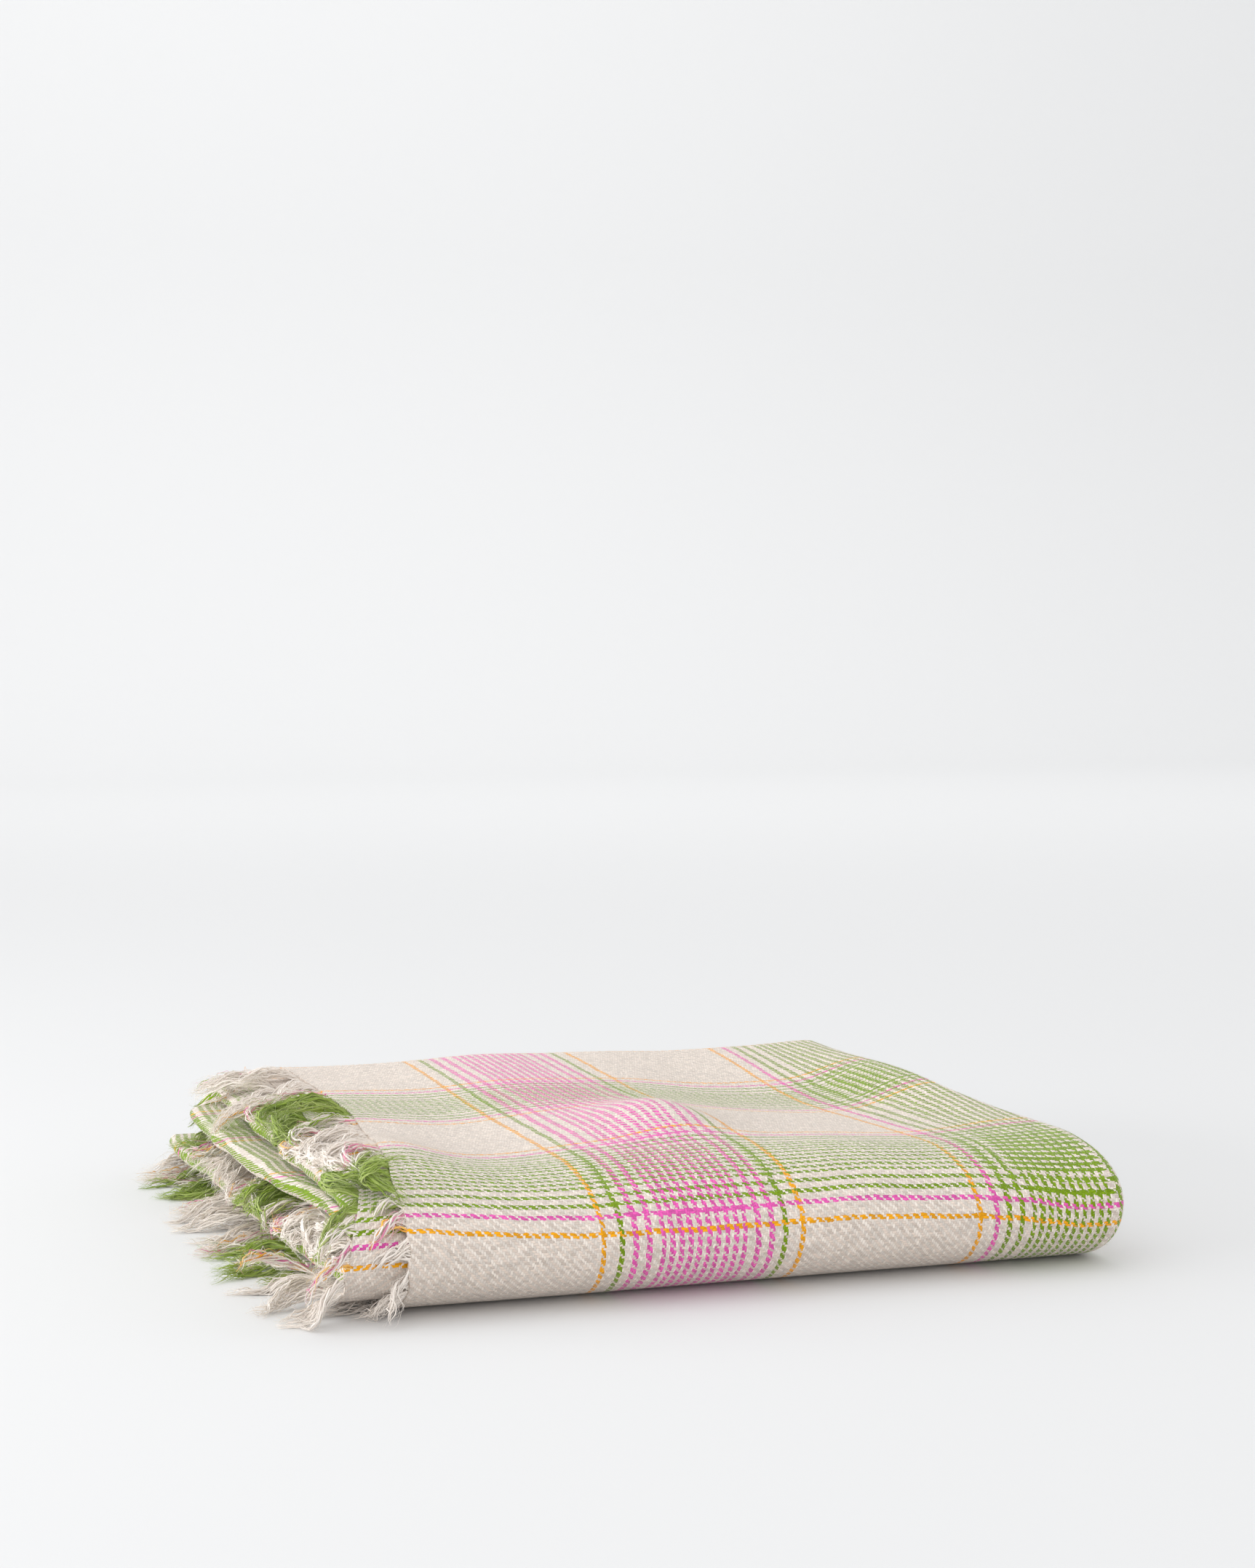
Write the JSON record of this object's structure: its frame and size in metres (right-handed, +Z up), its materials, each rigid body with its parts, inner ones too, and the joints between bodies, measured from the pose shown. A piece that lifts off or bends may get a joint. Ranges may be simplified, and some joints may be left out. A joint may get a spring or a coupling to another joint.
{
  "type": "folded throw blanket",
  "caption": "Check-woven woollen throw with fringed ends, folded into a flat rectangular pack whose upper panels open over the front fold.",
  "frame": {"origin": "centre of the pack's bounding box, on the surface that it lies on", "axes": "+Z up through the pile of plies, +X from the fringed end to the crosswise folds, +Y from the rounded front fold to the back"},
  "size_m": [0.4652, 0.4558, 0.0716],
  "materials": {
    "woven_check": "matte",
    "fringe_yarn": "matte"
  },
  "bodies": {
    "lower_panel": {"bottom_outer_ply": "woven_check", "bottom_inner_ply": "woven_check", "bottom_ridge_ply": "woven_check", "bottom_outer_fringe": "fringe_yarn", "bottom_inner_fringe": "fringe_yarn", "front_fold_outer_ply": "woven_check", "front_fold_inner_ply": "woven_check", "front_fold_ridge_ply": "woven_check", "front_fold_outer_fringe": "fringe_yarn", "front_fold_inner_fringe": "fringe_yarn"},
    "upper_panels": {"top_outer_ply": "woven_check", "top_inner_ply": "woven_check", "top_ridge_ply": "woven_check", "top_outer_fringe": "fringe_yarn", "top_inner_fringe": "fringe_yarn", "back_fold_outer_ply": "woven_check", "back_fold_inner_ply": "woven_check", "back_fold_ridge_ply": "woven_check", "back_fold_outer_fringe": "fringe_yarn", "back_fold_inner_fringe": "fringe_yarn", "middle_outer_ply": "woven_check", "middle_inner_ply": "woven_check", "middle_ridge_ply": "woven_check", "middle_outer_fringe": "fringe_yarn", "middle_inner_fringe": "fringe_yarn"}
  },
  "joints": [
    {"name": "front_fold_opening", "type": "hinge", "parent": "lower_panel", "child": "upper_panels", "pos_m": [0, -0.1921, 0.0358], "axis": [1, 0, 0], "range_deg": [0, 180], "deforming": ["front_fold_outer_ply", "front_fold_inner_ply", "front_fold_ridge_ply", "front_fold_outer_fringe", "front_fold_inner_fringe"]}
  ]
}
